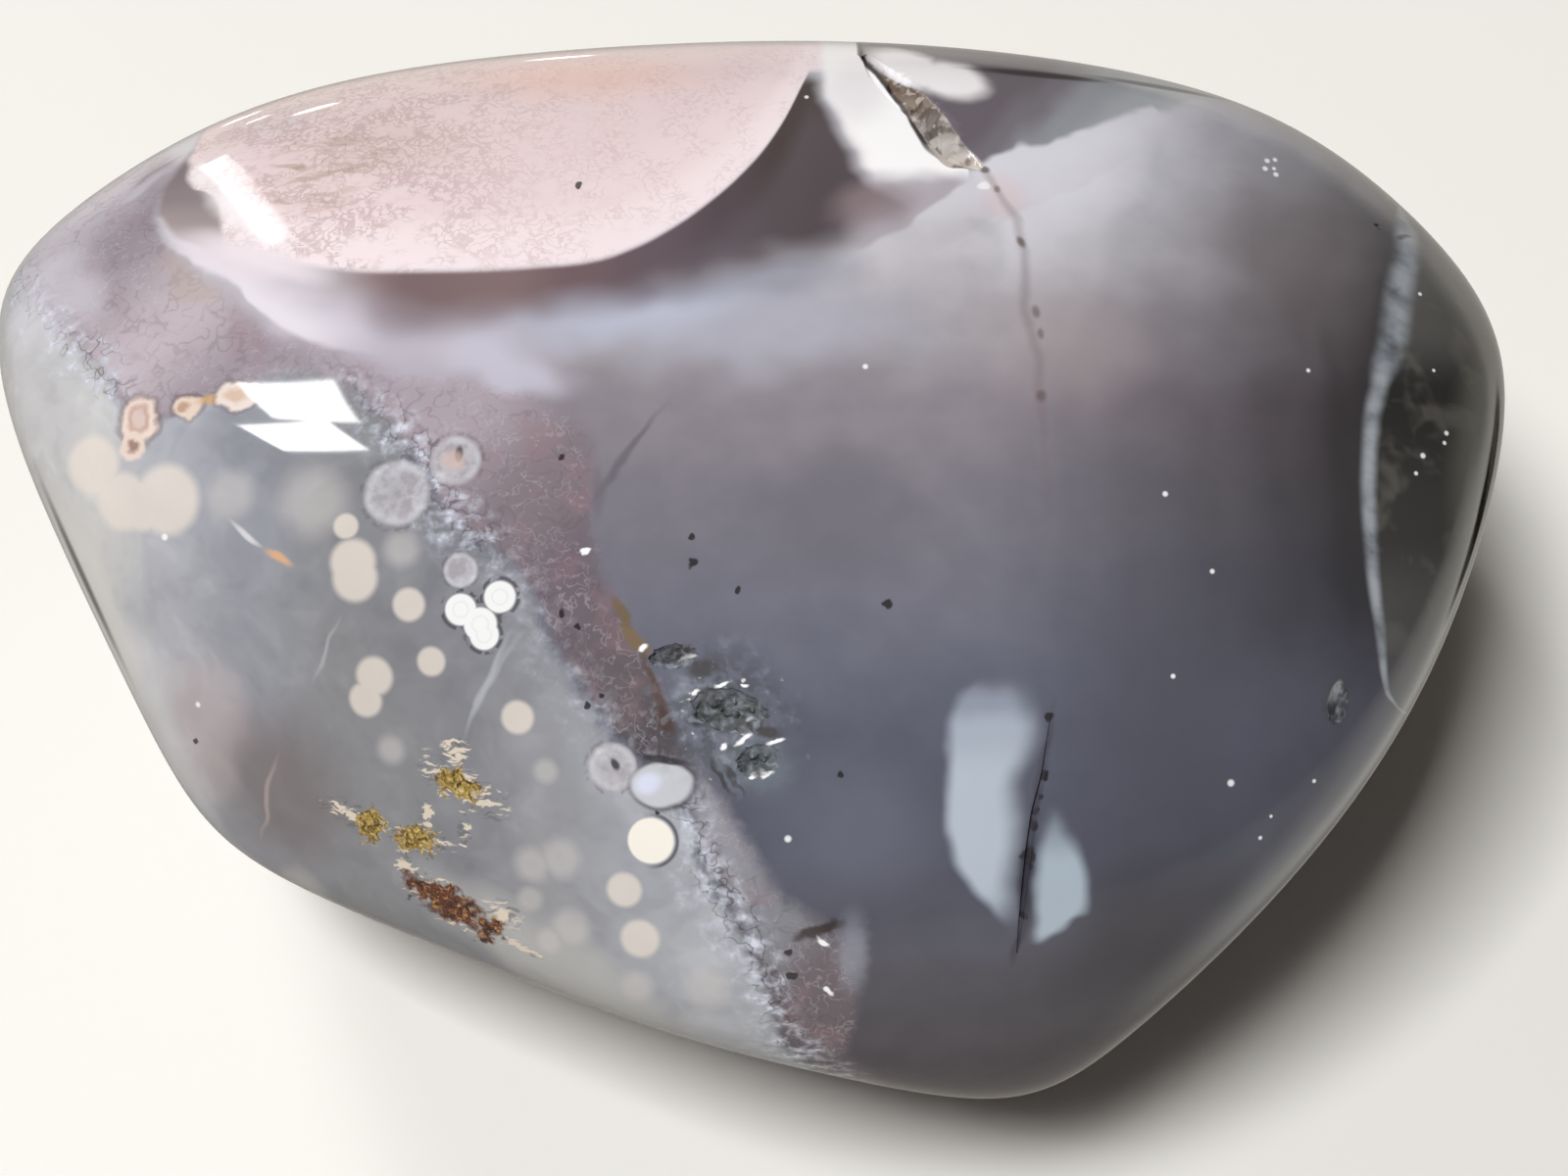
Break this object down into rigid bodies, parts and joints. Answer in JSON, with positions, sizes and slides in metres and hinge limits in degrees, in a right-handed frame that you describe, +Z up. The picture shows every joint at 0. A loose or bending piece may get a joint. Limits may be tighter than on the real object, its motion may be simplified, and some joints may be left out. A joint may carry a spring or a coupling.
{
  "type": "tumbled botswana agate",
  "caption": "Tumbled, polished agate pebble with rounded worn faces, one open crack and small crystal-lined vugs, lying flat.",
  "frame": {"origin": "middle of the stone's footprint box, on the surface that it rests on", "axes": "+X along the stone's longest extent, +Y towards its back, +Z up through its thinnest extent"},
  "size_m": [0.0448, 0.0384, 0.0261],
  "materials": {
    "polished_chalcedony": "high tumbled polish, grey to mauve chalcedony with a pale pink eye, cream orbs and white quartz"
  },
  "bodies": {
    "root": {"agate_pebble": "polished_chalcedony"}
  },
  "joints": []
}
